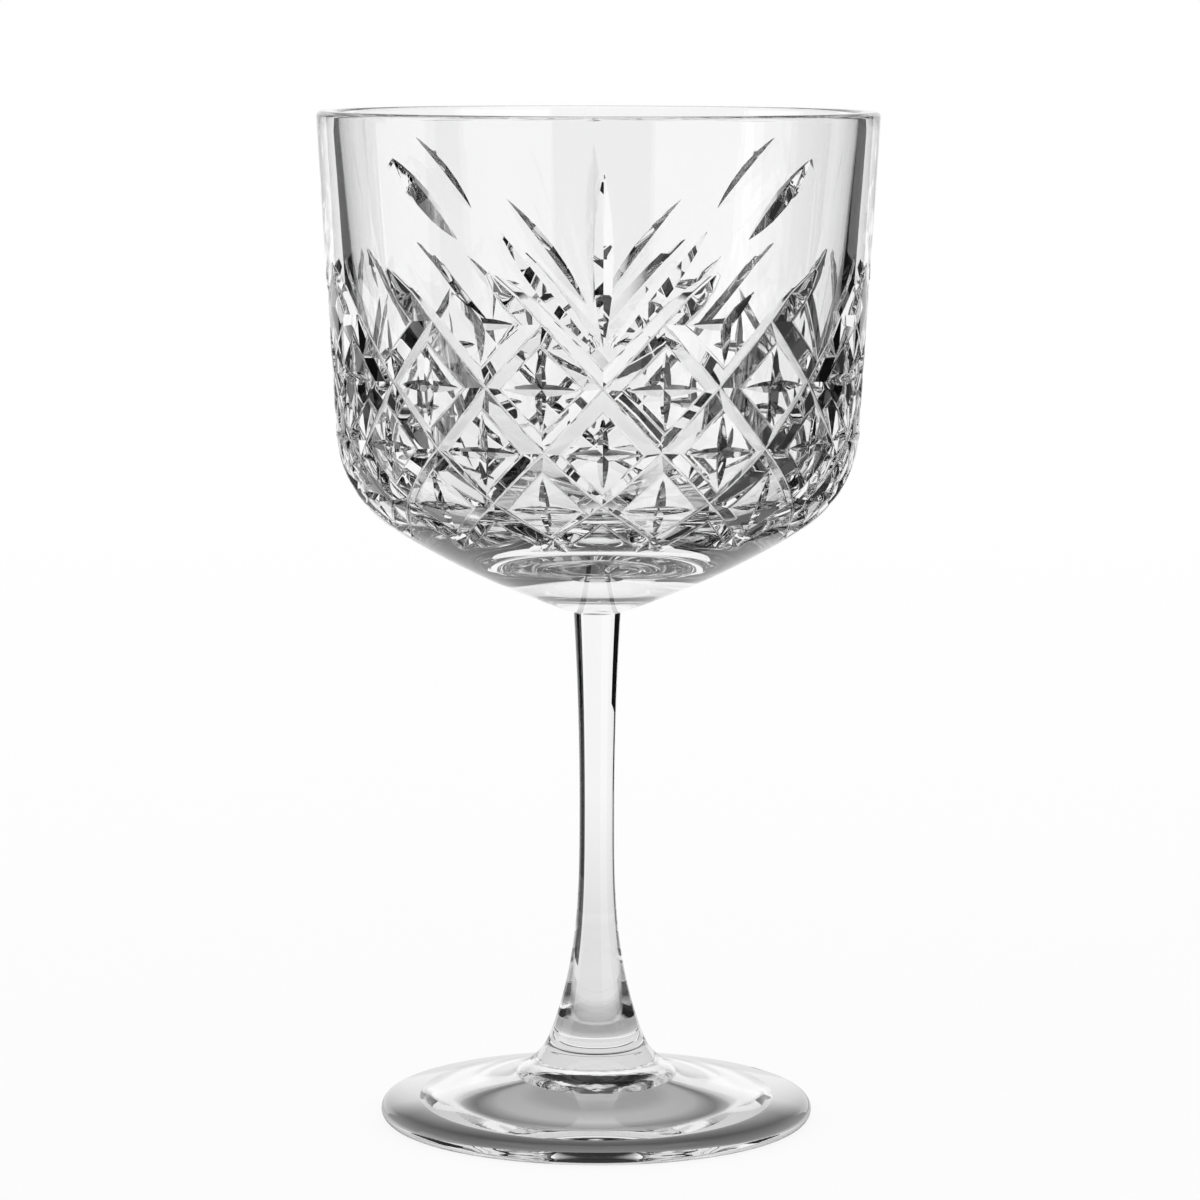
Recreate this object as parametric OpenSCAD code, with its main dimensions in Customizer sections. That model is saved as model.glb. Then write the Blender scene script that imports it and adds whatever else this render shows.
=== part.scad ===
// Gin and tonic glass: a stemmed glass of pressed clear glass with a cut pattern round the bowl.
// Millimetres, +Z up, standing on z = 0 with its axis on Z. The front of the pattern faces -Y.

// Sub-part to draw

/* [Whole glass] */
// Height from the table to the rim
total_height = 200; // [192:1:215]
// Height of the weld between the stem and the bowl
bowl_weld_height = 101.5; // [96:0.5:106]
// Height of the weld between the foot and the stem
foot_weld_height = 16.4; // [15:0.2:18]
// Diameter of the weld between the stem and the bowl
bowl_weld_diameter = 9.3; // [8:0.1:11]
// Diameter of the weld between the foot and the stem
foot_weld_diameter = 18.8; // [16:0.2:22]

/* [Bowl outside] */
// Outer diameter that the wall's slope reaches at the rim
rim_diameter = 110; // [106:0.5:116]
// Thickness of the glass that the two walls' slopes leave at the rim
rim_thickness = 3.9; // [3:0.1:4.6]
// Radius of the rim's two rounded edges
rim_edge_radius = 1; // [0.6:0.1:1.4]
// Slope of the outer wall from upright, in degrees
wall_taper = 3.3; // [2:0.1:5]
// Radius of the rounded corner under the wall
corner_radius = 24; // [20:0.5:28]
// Slope of the underside at the weld, in degrees
underside_slope_at_weld = 19; // [15:0.5:22]
// Slope of the underside where the rounded corner starts, in degrees
underside_slope_at_corner = 32; // [28:0.5:36]

/* [Bowl inside] */
// Slope of the inner wall from upright, in degrees
hollow_taper = 5.6; // [4.5:0.1:6.5]
// Slope of the hollow's lower part, in degrees
floor_slope = 26; // [22:0.5:30]
// Diameter of the flat floor of the hollow
floor_diameter = 44; // [36:1:48]

/* [Stem] */
// Diameter of the stem's waist
waist_diameter = 6.9; // [5.6:0.1:8]
// Height of the waist above the table
waist_height = 62; // [52:1:72]
// How late the stem flares towards the foot: a higher value keeps it slim for longer
flare_power = 3; // [2.5:0.1:3.5]

/* [Foot] */
// Diameter of the foot
foot_diameter = 85.8; // [80:0.2:92]
// Thickness of the foot's rounded edge
edge_thickness = 4; // [3:0.1:5]
// Slope of the foot's upper face, in degrees
foot_slope = 13; // [10:0.5:15]
// Width of the flat ring that stands on the table
standing_ring_width = 4; // [3:0.5:6]
// Slope of the hollow under the foot, in degrees
hollow_slope = 13; // [10:0.5:15]
// Width over which the standing ring rounds into that slope
hollow_rounding = 9; // [6:0.5:12]
// Diameter of the flat disc in the middle of the hollow
disc_diameter = 29; // [26:1:32]
// Step between the hollow and its middle disc
disc_step = 0.3; // [0.2:0.1:0.6]

/* [Cut pattern] */
// Number of diamonds in one row round the bowl
column_count = 14; // [12:2:16]
// Turn of the whole pattern about the axis, in degrees
pattern_turn = 1.1; // [-3:0.1:3]
// Height of the middle row of crossings above the top of the rounded corner
middle_row_height = 12; // [11:0.5:14]
// Distance between rows on the wall
row_pitch = 12.1; // [11:0.1:13]
// Distance between rows on the rounded corner
corner_row_pitch = 11.4; // [10.6:0.1:12]
// Distance between rows on the underside
underside_row_pitch = 10.2; // [9.4:0.1:11]
// Width of a mitre cut
mitre_width = 5.3; // [4.4:0.1:6]
// Depth of a mitre cut that leans to the right
mitre_depth = 2; // [1.6:0.1:2.4]
// How much deeper the mitre cuts run that lean to the left
crossing_step = 0.1; // [0.05:0.05:0.2]
// Row at which a mitre cut that runs on above the pattern ends
mitre_tip_row = 1.82; // [1.6:0.02:2]
// Length of a mitre cut's tapered end, in rows
mitre_taper = 0.4; // [0.3:0.02:0.5]
// Length of a star's arm, in rows
star_arm = 0.62; // [0.5:0.01:0.66]
// Half width of a star's arm at the centre
star_half_width = 1.2; // [0.8:0.05:1.5]
// Depth of a star at its centre
star_depth = 1.3; // [1:0.05:1.5]
// Half width of a leaf cut at its middle
leaf_half_width = 1.9; // [1.4:0.1:2.2]
// Depth of a leaf cut at its middle
leaf_depth = 1.5; // [1.2:0.05:1.8]
// Row at which the upright leaf of the fan starts
fan_low_row = 0.66; // [0.6:0.02:0.8]
// Row at which the upright leaf of the fan ends
fan_high_row = 3.36; // [3:0.02:3.6]
// Half columns from the middle of the fan to the tip of its leaning leaf
fan_reach = 1.63; // [1.5:0.01:1.75]
// Row of the tip of the fan's leaning leaf
fan_tip_row = 2.44; // [2.3:0.02:2.6]
// Half columns from the middle of the fan to the middle of the single leaf beside it
single_leaf_column = 2.97; // [2.8:0.01:3.1]
// Row of the middle of that single leaf
single_leaf_row = 2.91; // [2.8:0.01:3.1]
// Half length of the single leaf, in rows and half columns
single_leaf_half = 0.62; // [0.5:0.01:0.7]

/* [Hidden] */
$fn = 96;
right_angle = 90;
half_turn = 180;
full_turn = 360;

// The outer wall runs down from the rim. Its corner arc and underside arc are tangent to it and to each other.
rim_radius = rim_diameter / 2;
bowl_weld_radius = bowl_weld_diameter / 2;
wall_direction = right_angle - wall_taper;
underside_mean_slope = (underside_slope_at_weld + underside_slope_at_corner) / 2;
underside_turn = underside_slope_at_corner - underside_slope_at_weld;

function wall_radius(z) = rim_radius - tan(wall_taper) * (total_height - z);

corner_reach = corner_radius * sin(underside_slope_at_corner) - corner_radius / cos(wall_taper);
corner_drop = corner_radius * cos(underside_slope_at_corner);
corner_lead = wall_radius(0) + corner_reach - bowl_weld_radius;
corner_height = (bowl_weld_height + corner_drop + tan(underside_mean_slope) * corner_lead)
    / (1 - tan(underside_mean_slope) * tan(wall_taper));
corner_centre_radius = wall_radius(corner_height) - corner_radius / cos(wall_taper);
underside_end = [
    corner_centre_radius + corner_radius * sin(underside_slope_at_corner),
    corner_height - corner_drop
];
underside_chord = norm(underside_end - [bowl_weld_radius, bowl_weld_height]);
underside_radius = underside_chord / (2 * sin(underside_turn / 2));
underside_centre = [
    bowl_weld_radius - underside_radius * sin(underside_slope_at_weld),
    bowl_weld_height + underside_radius * cos(underside_slope_at_weld)
];

// Position on the outer face by its distance from the weld, measured along the face.
degrees_per_radian = half_turn / PI;
underside_length = underside_radius * underside_turn / degrees_per_radian;
corner_turn = wall_direction - underside_slope_at_corner;
corner_length = corner_radius * corner_turn / degrees_per_radian;
wall_start = underside_length + corner_length;

function skin_slope(s) =
    s < underside_length ? underside_slope_at_weld + s / underside_radius * degrees_per_radian
    : s < wall_start
        ? underside_slope_at_corner + (s - underside_length) / corner_radius * degrees_per_radian
    : wall_direction;

function on_arc(centre, radius, slope) = centre + radius * [sin(slope), -cos(slope)];

corner_centre = [corner_centre_radius, corner_height];
wall_foot = on_arc(corner_centre, corner_radius, wall_direction);

function skin(s) =
    s < underside_length ? on_arc(underside_centre, underside_radius, skin_slope(s))
    : s < wall_start ? on_arc(corner_centre, corner_radius, skin_slope(s))
    : wall_foot + (s - wall_start) * [cos(wall_direction), sin(wall_direction)];

function arc_points(centre, radius, from, to, steps) =
    [for (k = [0:steps]) on_arc(centre, radius, from + (to - from) * k / steps)];

// The hollow's corner shares the centre of the outer corner.
function hollow_radius(z) = rim_radius - rim_thickness - tan(hollow_taper) * (total_height - z);

hollow_corner_radius = (hollow_radius(corner_height) - corner_centre_radius) * cos(hollow_taper);
floor_start = on_arc(corner_centre, hollow_corner_radius, floor_slope);
floor_radius = floor_diameter / 2;
floor_height = floor_start[1] - (floor_start[0] - floor_radius) * tan(floor_slope);

// The rim is flat on top, and its edges are round and tangent to the two walls.
rim_edge_height = total_height - rim_edge_radius;
outer_edge_centre = [wall_radius(rim_edge_height) - rim_edge_radius / cos(wall_taper), rim_edge_height];
inner_edge_centre = [hollow_radius(rim_edge_height) + rim_edge_radius / cos(hollow_taper), rim_edge_height];

underside_steps = 6;
corner_steps = 10;
rim_edge_steps = 6;
hollow_steps = 10;

module bowl_profile() {
    outside = concat(
        [[0, bowl_weld_height]],
        arc_points(underside_centre, underside_radius, underside_slope_at_weld,
            underside_slope_at_corner, underside_steps),
        [for (p = arc_points(corner_centre, corner_radius, underside_slope_at_corner,
            wall_direction, corner_steps)) if (p[1] > underside_end[1]) p]
    );
    rim = concat(
        arc_points(outer_edge_centre, rim_edge_radius, wall_direction, half_turn, rim_edge_steps),
        arc_points(inner_edge_centre, rim_edge_radius, half_turn,
            half_turn + right_angle - hollow_taper, rim_edge_steps)
    );
    inside = arc_points(corner_centre, hollow_corner_radius, right_angle - hollow_taper,
        floor_slope, hollow_steps);
    floor_points = [[floor_radius, floor_height], [0, floor_height]];
    polygon(concat(outside, rim, inside, floor_points));
}

// Places on the outer face, by half columns to the right of the front and by rows above the middle row.
half_step = full_turn / column_count / 2;
middle_level = wall_start + middle_row_height;
corner_row = -1;
underside_row = -2;
lowest_row = -3;

function level(row) =
    row >= corner_row ? middle_level + row * row_pitch
    : row >= underside_row ? level(corner_row) + (row - corner_row) * corner_row_pitch
    : level(underside_row) + (row - underside_row) * underside_row_pitch;

function heading(column) = pattern_turn + column * half_step;

function place(p) =
    let (at = skin(level(p[1])), turn = heading(p[0]))
    [at[0] * sin(turn), -at[0] * cos(turn), at[1]];

function outward(p) =
    let (slope = skin_slope(level(p[1])), turn = heading(p[0]))
    [sin(slope) * sin(turn), -sin(slope) * cos(turn), -cos(slope)];

function unit(v) = v / norm(v);

// Cutters reach this far out of the glass.
cutter_lift = 0.6;

// One V-shaped cut along a path of places. Its depth at each station sets its width there, and its last
// station is a point. Its first is a point too, unless the cut starts at full size.
module v_cut(path, depths, spread, starts_full) {
    last = len(path) - 1;
    first = starts_full ? 0 : 1;
    count = last - first;
    stations = [for (k = [first:last - 1])
        let (
            out = outward(path[k]),
            along = unit(place(path[k + 1]) - place(path[max(k - 1, 0)])),
            side = unit(cross(out, along)),
            top = place(path[k]) + cutter_lift * out,
            half = spread * (depths[k] + cutter_lift)
        )
        each [place(path[k]) - depths[k] * out, top + half * side, top - half * side]
    ];
    start_point = place(path[0]) + cutter_lift * outward(path[0]);
    end_point = place(path[last]) + cutter_lift * outward(path[last]);
    points = concat(stations, [end_point], starts_full ? [] : [start_point]);
    tail = 3 * (count - 1);
    end = 3 * count;
    start = end + 1;
    walls = [for (k = [0:1:count - 2])
        let (v = 3 * k, l = v + 1, r = v + 2)
        each [
            [v, v + 3, l + 3], [v, l + 3, l],
            [v, r, r + 3], [v, r + 3, v + 3],
            [l, l + 3, r + 3], [l, r + 3, r]
        ]
    ];
    tip = [[tail, end, tail + 1], [tail, tail + 2, end], [tail + 1, end, tail + 2]];
    head = starts_full ? [[0, 1, 2]] : [[start, 0, 1], [start, 2, 0], [start, 1, 2]];
    polyhedron(points, concat(walls, tip, head));
}

mitre_spread = mitre_width / 2 / mitre_depth;
rows_per_station = 0.5;

// Does the mitre cut that crosses this half column of the top row run on upwards?
function runs_on(column) =
    let (place_in_half = (column % column_count + column_count) % column_count)
    place_in_half > 0 && place_in_half <= column_count / 2;

// One mitre cut. Side 1 leans to the right and side -1 is its mirror image.
module mitre_cut(index, side) {
    depth = side > 0 ? mitre_depth : mitre_depth + crossing_step;
    stretch = (depth + cutter_lift) / depth;
    shoulder_row = mitre_tip_row - mitre_taper;
    top_row = 1;
    long = runs_on(2 * index + 1);
    middle_rows = [for (row = [top_row:-rows_per_station:lowest_row]) row];
    rows = concat(
        long ? [shoulder_row + mitre_taper * stretch, shoulder_row] : [],
        middle_rows,
        [lowest_row - mitre_taper * stretch]
    );
    path = [for (row = rows) [side * (2 * index + row), row]];
    v_cut(path, [for (row = rows) depth], mitre_spread, !long);
}

// A star of kite-shaped arms, given by their directions in half columns and rows, anticlockwise.
arm_overrun = 1.25;
shoulder_overrun = 2.2;

module star_cut(column, row, arms) {
    centre = [column, row];
    out = outward(centre);
    bottom = place(centre) - star_depth * out;
    column_width = skin(level(row))[0] * half_step / degrees_per_radian;
    row_width = level(row + star_arm) - level(row);
    scale_to_place = [1 / column_width, star_arm / row_width];
    count = len(arms);
    rim_points = [for (k = [0:count - 1])
        let (
            arm = arms[k],
            next = arms[(k + 1) % count],
            from = atan2(arm[1], arm[0]),
            gap = (atan2(next[1], next[0]) - from + full_turn) % full_turn,
            reach = star_half_width / sin(gap / 2),
            middle = from + gap / 2,
            notch = reach * [cos(middle) * scale_to_place[0], sin(middle) * scale_to_place[1]]
        )
        each [
            bottom + arm_overrun * (place(centre + arm) - bottom),
            bottom + shoulder_overrun * (place(centre + notch) - bottom)
        ]
    ];
    top = place(centre) + star_depth * (shoulder_overrun - 1) * out;
    rim_count = 2 * count;
    faces = [for (k = [0:rim_count - 1])
        let (a = k + 2, b = (k + 1) % rim_count + 2)
        each [[0, a, b], [1, b, a]]
    ];
    polyhedron(concat([bottom, top], rim_points), faces);
}

full_star = star_arm * [[1, 0], [0, 1], [-1, 0], [0, -1]];
slant_arm = 0.5;

// The star beside the fan has three arms: towards the fan, down, and up along the mitre cuts.
function side_star(side) = side > 0
    ? [[slant_arm, slant_arm], [-star_arm, 0], [0, -star_arm]]
    : [[star_arm, 0], [-slant_arm, slant_arm], [0, -star_arm]];

leaf_spread = leaf_half_width / leaf_depth;
leaf_steps = 6;

// A leaf: a V-shaped cut that is widest at its middle and pointed at both ends.
module leaf_cut(from, to) {
    middle = (from + to) / 2;
    stretch = sqrt((leaf_depth + cutter_lift) / leaf_depth);
    reach = (to - from) / 2 * stretch;
    shares = [for (k = [0:leaf_steps]) 2 * k / leaf_steps - 1];
    path = [for (share = shares) middle + share * reach];
    depths = [for (share = shares) leaf_depth - (leaf_depth + cutter_lift) * share * share];
    v_cut(path, depths, leaf_spread, false);
}

fan_base_column = 0.12;
fan_base_row = 0.62;

// The fan of leaves at the front of the pattern, and the same at the back.
module fan_cuts(column) {
    leaf_cut([column, fan_low_row], [column, fan_high_row]);
    for (side = [-1, 1]) {
        leaf_cut([column + side * fan_base_column, fan_base_row],
            [column + side * fan_reach, fan_tip_row]);
        leaf_cut([column + side * (single_leaf_column - single_leaf_half), single_leaf_row - single_leaf_half],
            [column + side * (single_leaf_column + single_leaf_half), single_leaf_row + single_leaf_half]);
        star_cut(column + side * 2, 1, side_star(side));
    }
}

module bowl() {
    color([0.9, 0.94, 0.95])
    difference() {
        rotate_extrude() bowl_profile();
        for (index = [0:column_count - 1]) mitre_cut(index, 1);
        for (index = [0:column_count - 1]) mitre_cut(index, -1);
        for (index = [0:column_count - 1]) {
            star_cut(2 * index + 1, 0, full_star);
            star_cut(2 * index, corner_row, full_star);
            star_cut(2 * index + 1, underside_row, full_star);
        }
        fan_cuts(0);
        fan_cuts(column_count);
    }
}

// Stem: a rod that narrows to a waist and flares to the foot, with flat weld faces at both ends.
waist_radius = waist_diameter / 2;
foot_weld_radius = foot_weld_diameter / 2;
stem_steps = 16;

function upper_stem(share) = [
    waist_radius + (bowl_weld_radius - waist_radius) * share * share,
    waist_height + (bowl_weld_height - waist_height) * share
];

function lower_stem(share) = [
    waist_radius + (foot_weld_radius - waist_radius) * pow(share, flare_power),
    waist_height - (waist_height - foot_weld_height) * share
];

module stem() {
    color([0.88, 0.92, 0.94])
    rotate_extrude()
    polygon(concat(
        [[0, bowl_weld_height], [0, foot_weld_height]],
        [for (k = [stem_steps:-1:0]) lower_stem(k / stem_steps)],
        [for (k = [1:stem_steps]) upper_stem(k / stem_steps)]
    ));
}

// Foot: a boss that carries on the stem's flare, a sloping plate with a rounded edge, and a hollow below.
foot_radius = foot_diameter / 2;
edge_radius = edge_thickness / 2;
edge_centre = [foot_radius - edge_radius, edge_radius];
flare_slope = atan(flare_power * (foot_weld_radius - waist_radius) / (waist_height - foot_weld_height));
plate_slope = right_angle - foot_slope;
plate_edge = edge_centre + edge_radius * [sin(foot_slope), cos(foot_slope)];
boss_fall = foot_weld_height - plate_edge[1] - (plate_edge[0] - foot_weld_radius) * tan(foot_slope);
boss_radius = boss_fall
    / (sin(plate_slope) - sin(flare_slope) - tan(foot_slope) * (cos(flare_slope) - cos(plate_slope)));
boss_steps = 10;
edge_steps = 12;
ring_inner_radius = foot_radius - edge_radius - standing_ring_width;
disc_radius = disc_diameter / 2;
rounding_rise = tan(hollow_slope) * hollow_rounding / 2;
hollow_height = rounding_rise + tan(hollow_slope) * (ring_inner_radius - hollow_rounding - disc_radius);
rounding_steps = 8;

module foot() {
    boss = [for (k = [0:boss_steps])
        let (turn = flare_slope + (plate_slope - flare_slope) * k / boss_steps)
        [
            foot_weld_radius + boss_radius * (cos(flare_slope) - cos(turn)),
            foot_weld_height - boss_radius * (sin(turn) - sin(flare_slope))
        ]
    ];
    edge = [for (k = [0:edge_steps])
        let (turn = plate_slope - (plate_slope + right_angle) * k / edge_steps)
        edge_centre + edge_radius * [cos(turn), sin(turn)]
    ];
    rounding = [for (k = [0:rounding_steps])
        let (share = k / rounding_steps)
        [ring_inner_radius - hollow_rounding * share, rounding_rise * share * share]
    ];
    hollow = [
        [disc_radius, hollow_height],
        [disc_radius, hollow_height + disc_step],
        [0, hollow_height + disc_step]
    ];
    color([0.86, 0.91, 0.93])
    rotate_extrude()
    polygon(concat([[0, foot_weld_height]], boss, edge, rounding, hollow));
}

bowl();
stem();
foot();
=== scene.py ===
import math

import bmesh
import bpy
import numpy as np
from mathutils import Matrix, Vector


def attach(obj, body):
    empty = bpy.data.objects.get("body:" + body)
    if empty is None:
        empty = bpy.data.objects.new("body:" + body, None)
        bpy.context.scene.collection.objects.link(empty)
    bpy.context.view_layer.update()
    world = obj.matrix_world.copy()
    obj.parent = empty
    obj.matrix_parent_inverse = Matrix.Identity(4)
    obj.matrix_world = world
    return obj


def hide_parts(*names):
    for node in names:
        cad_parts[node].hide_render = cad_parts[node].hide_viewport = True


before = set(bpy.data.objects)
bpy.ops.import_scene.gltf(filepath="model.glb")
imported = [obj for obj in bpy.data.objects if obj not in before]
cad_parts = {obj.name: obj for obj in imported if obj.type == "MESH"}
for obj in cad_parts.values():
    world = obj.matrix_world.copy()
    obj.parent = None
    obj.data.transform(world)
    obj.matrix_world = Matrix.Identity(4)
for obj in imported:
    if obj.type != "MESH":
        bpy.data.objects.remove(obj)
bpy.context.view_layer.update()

# ---- Foot ----------------------------------------------------------------------------------------
# The foot is a round plate of pressed clear glass, with a boss in the middle and a hollow below.
# It stands on a flat ring near its edge. The stem is welded on to the boss while both are hot.
mm = 0.001
root_body = "root"
foot_radius = 42.9 * mm
foot_edge_radius = 2.0 * mm
foot_slope = math.radians(13)
standing_ring_width = 4 * mm
hollow_slope = math.radians(13)
hollow_rounding = 9 * mm
disc_radius = 14.5 * mm
disc_step = 0.3 * mm
foot_weld_radius = 9.4 * mm
foot_weld_height = 16.4 * mm
waist_radius = 3.45 * mm
waist_height = 62 * mm
flare_power = 3
round_steps = 128
soft_edge = 0.1 * mm
soft_edge_segments = 3
round_profile = 0.5
place_margin = 0.01 * mm
merge_distance = 0.002 * mm
glass_bending = 1.51        # refractive index of soda-lime glass
faint_tint = (0.995, 0.997, 0.997, 1)
no_tint = (1, 1, 1, 1)
tint_scale = 24
handling_scale = 70
handling_detail = 4
handling_range = (0.55, 0.8)
wave_detail = 1
facing_down = -0.9


def arc(centre, radius, start, end, steps):
    """Points of an arc in the plane of radius and height, with its angles from the outward axis."""
    turns = [start + (end - start) * k / steps for k in range(steps + 1)]
    return [(centre[0] + radius * math.cos(t), centre[1] + radius * math.sin(t)) for t in turns]


def spun(outline, steps, heading=0.0):
    """A glass form turned about the upright axis from its outline of radii and heights."""
    form = bmesh.new()
    across, ahead = math.sin(heading), -math.cos(heading)
    points = [form.verts.new((r * across, r * ahead, z)) for r, z in outline]
    for low, high in zip(points, points[1:]):
        form.edges.new((low, high))
    bmesh.ops.spin(
        form, geom=form.verts[:] + form.edges[:], cent=(0, 0, 0), axis=(0, 0, 1), dvec=(0, 0, 0),
        angle=2 * math.pi, steps=steps, use_merge=True, use_normal_flip=False, use_duplicate=False)
    bmesh.ops.remove_doubles(form, verts=form.verts[:], dist=merge_distance)
    return form


def soften(form, corners):
    """Rounds the ring-shaped edges that pass through these points of the outline."""
    rings = []
    for edge in form.edges:
        ends = [(math.hypot(v.co.x, v.co.y), v.co.z) for v in edge.verts]
        if any(all(math.dist(end, corner) < place_margin for end in ends) for corner in corners):
            rings.append(edge)
    bmesh.ops.bevel(form, geom=rings, offset=soft_edge, offset_type="OFFSET", affect="EDGES",
                    segments=soft_edge_segments, profile=round_profile, material=-1)


def make_clear_glass(name, smoothest, roughest, wave_scale, wave_depth):
    """Colourless pressed glass: waves left by the mould and a trace of handling on the polish."""
    glass = bpy.data.materials.new(name)
    glass.use_nodes = True
    nodes, links = glass.node_tree.nodes, glass.node_tree.links
    shader = nodes["Principled BSDF"]
    shader.inputs["Transmission Weight"].default_value = 1.0
    shader.inputs["IOR"].default_value = glass_bending
    place = nodes.new("ShaderNodeTexCoord")
    tint = nodes.new("ShaderNodeTexNoise")
    tint.inputs["Scale"].default_value = tint_scale
    tint_range = nodes.new("ShaderNodeValToRGB")
    tint_range.color_ramp.elements[0].color = faint_tint
    tint_range.color_ramp.elements[1].color = no_tint
    links.new(place.outputs["Object"], tint.inputs["Vector"])
    links.new(tint.outputs["Fac"], tint_range.inputs["Fac"])
    links.new(tint_range.outputs["Color"], shader.inputs["Base Color"])
    handling = nodes.new("ShaderNodeTexNoise")
    handling.inputs["Scale"].default_value = handling_scale
    handling.inputs["Detail"].default_value = handling_detail
    polish = nodes.new("ShaderNodeMapRange")
    polish.inputs["From Min"].default_value = handling_range[0]
    polish.inputs["From Max"].default_value = handling_range[1]
    polish.inputs["To Min"].default_value = smoothest
    polish.inputs["To Max"].default_value = roughest
    links.new(place.outputs["Object"], handling.inputs["Vector"])
    links.new(handling.outputs["Fac"], polish.inputs["Value"])
    links.new(polish.outputs["Result"], shader.inputs["Roughness"])
    waves = nodes.new("ShaderNodeTexNoise")
    waves.inputs["Scale"].default_value = wave_scale
    waves.inputs["Detail"].default_value = wave_detail
    mould_waves = nodes.new("ShaderNodeBump")
    mould_waves.inputs["Strength"].default_value = 1.0
    mould_waves.inputs["Distance"].default_value = wave_depth
    links.new(place.outputs["Object"], waves.inputs["Vector"])
    links.new(waves.outputs["Fac"], mould_waves.inputs["Height"])
    links.new(mould_waves.outputs["Normal"], shader.inputs["Normal"])
    return glass


def make_weld():
    """A weld has no surface of its own: the two pieces of glass have run together there."""
    weld = bpy.data.materials.new("weld")
    weld.use_nodes = True
    shader = weld.node_tree.nodes["Principled BSDF"]
    shader.inputs["Alpha"].default_value = 0.0
    shader.inputs["IOR"].default_value = 1.0
    return weld


clear_glass = make_clear_glass(
    "pressed_clear_glass", smoothest=0.0, roughest=0.015, wave_scale=60, wave_depth=0.012 * mm)
weld = make_weld()
glass_index, weld_index, stipple_index = 0, 1, 2


def finished(name, form, weld_heights, node):
    """Makes a piece of glass from its form. The flat faces at a weld's height are the weld."""
    bmesh.ops.recalc_face_normals(form, faces=form.faces[:])
    for face in form.faces:
        face.smooth = True
        at_weld = all(any(abs(v.co.z - height) < place_margin for height in weld_heights)
                      for v in face.verts)
        face.material_index = weld_index if at_weld else glass_index
    for edge in form.edges:
        edge.smooth = len({face.material_index for face in edge.link_faces}) == 1
    mesh = bpy.data.meshes.new(name)
    form.to_mesh(mesh)
    form.free()
    mesh.materials.append(clear_glass)
    mesh.materials.append(weld)
    piece = bpy.data.objects.new(name, mesh)
    bpy.context.collection.objects.link(piece)
    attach(piece, root_body)
    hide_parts(node)
    return piece


flare_width = foot_weld_radius - waist_radius
flare_height = waist_height - foot_weld_height
flare_slope = math.atan(flare_power * flare_width / flare_height)
plate_slope = math.pi / 2 - foot_slope
edge_centre = (foot_radius - foot_edge_radius, foot_edge_radius)
plate_end = (edge_centre[0] + foot_edge_radius * math.sin(foot_slope),
             edge_centre[1] + foot_edge_radius * math.cos(foot_slope))
plate_rise = (plate_end[0] - foot_weld_radius) * math.tan(foot_slope)
boss_fall = foot_weld_height - plate_end[1] - plate_rise
boss_radius = boss_fall / (math.sin(plate_slope) - math.sin(flare_slope)
                           - math.tan(foot_slope) * (math.cos(flare_slope) - math.cos(plate_slope)))
boss_centre = (foot_weld_radius + boss_radius * math.cos(flare_slope),
               foot_weld_height + boss_radius * math.sin(flare_slope))
ring_inner_radius = edge_centre[0] - standing_ring_width
boss_steps = 20
edge_steps = 16
boss = arc(boss_centre, boss_radius, math.pi + flare_slope, math.pi + plate_slope, boss_steps)
edge = arc(edge_centre, foot_edge_radius, plate_slope, -math.pi / 2, edge_steps)
rounding_steps = 16
rounding_rise = math.tan(hollow_slope) * hollow_rounding / 2
slope_length = ring_inner_radius - hollow_rounding - disc_radius
hollow_height = rounding_rise + math.tan(hollow_slope) * slope_length
hollow_shares = [k / rounding_steps for k in range(rounding_steps + 1)]
rounding = [(ring_inner_radius - hollow_rounding * share, rounding_rise * share ** 2)
            for share in hollow_shares]
disc_edge = (disc_radius, hollow_height)
disc_top = (disc_radius, hollow_height + disc_step)
disc = [disc_edge, disc_top, (0, disc_top[1])]
foot_outline = [(0, foot_weld_height)] + boss + edge + rounding + disc
foot_form = spun(foot_outline, round_steps)
soften(foot_form, [disc_edge, disc_top])
foot = finished("pressed_foot", foot_form, [foot_weld_height], "foot")
stippled_glass = make_clear_glass(
    "stippled_glass", smoothest=0.03, roughest=0.12, wave_scale=700, wave_depth=0.03 * mm)
foot.data.materials.append(stippled_glass)
for face in foot.data.polygons:
    if face.normal.z < facing_down and abs(face.center.z - disc_top[1]) < place_margin:
        face.material_index = stipple_index

# ---- Stem ----------------------------------------------------------------------------------------
# The stem is a rod of clear glass, drawn to a waist while it is soft. It flares on to the foot's
# boss and widens a little under the bowl, and it is welded to both.
bowl_weld_radius = 4.65 * mm
bowl_weld_height = 101.5 * mm
neck_power = 2
stem_steps = 40
shares = [k / stem_steps for k in range(stem_steps + 1)]
lower_stem = [(waist_radius + flare_width * share ** flare_power,
               waist_height - flare_height * share) for share in reversed(shares)]
upper_stem = [(waist_radius + (bowl_weld_radius - waist_radius) * share ** neck_power,
               waist_height + (bowl_weld_height - waist_height) * share) for share in shares[1:]]
stem_outline = [(0, foot_weld_height)] + lower_stem + upper_stem + [(0, bowl_weld_height)]
stem_form = spun(stem_outline, round_steps)
finished("drawn_stem", stem_form, [foot_weld_height, bowl_weld_height], "stem")

# ---- Bowl ----------------------------------------------------------------------------------------
# The bowl is pressed in a mould: a thick wall, a rounded corner and a shallow cone that meets the
# stem. The pattern of mitre cuts, stars and leaves is pressed into its outer face, and its edges
# are rounded in the flame.
total_height = 200 * mm
rim_radius = 55 * mm
rim_thickness = 3.9 * mm
rim_edge_radius = 1 * mm
wall_taper = math.radians(3.3)
corner_radius = 24 * mm
weld_slope = math.radians(19)
corner_slope = math.radians(32)
hollow_taper = math.radians(5.6)
floor_slope = math.radians(26)
floor_radius = 22 * mm

rim_edge_height = total_height - rim_edge_radius
wall_direction = math.pi / 2 - wall_taper
mean_slope = (weld_slope + corner_slope) / 2


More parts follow.
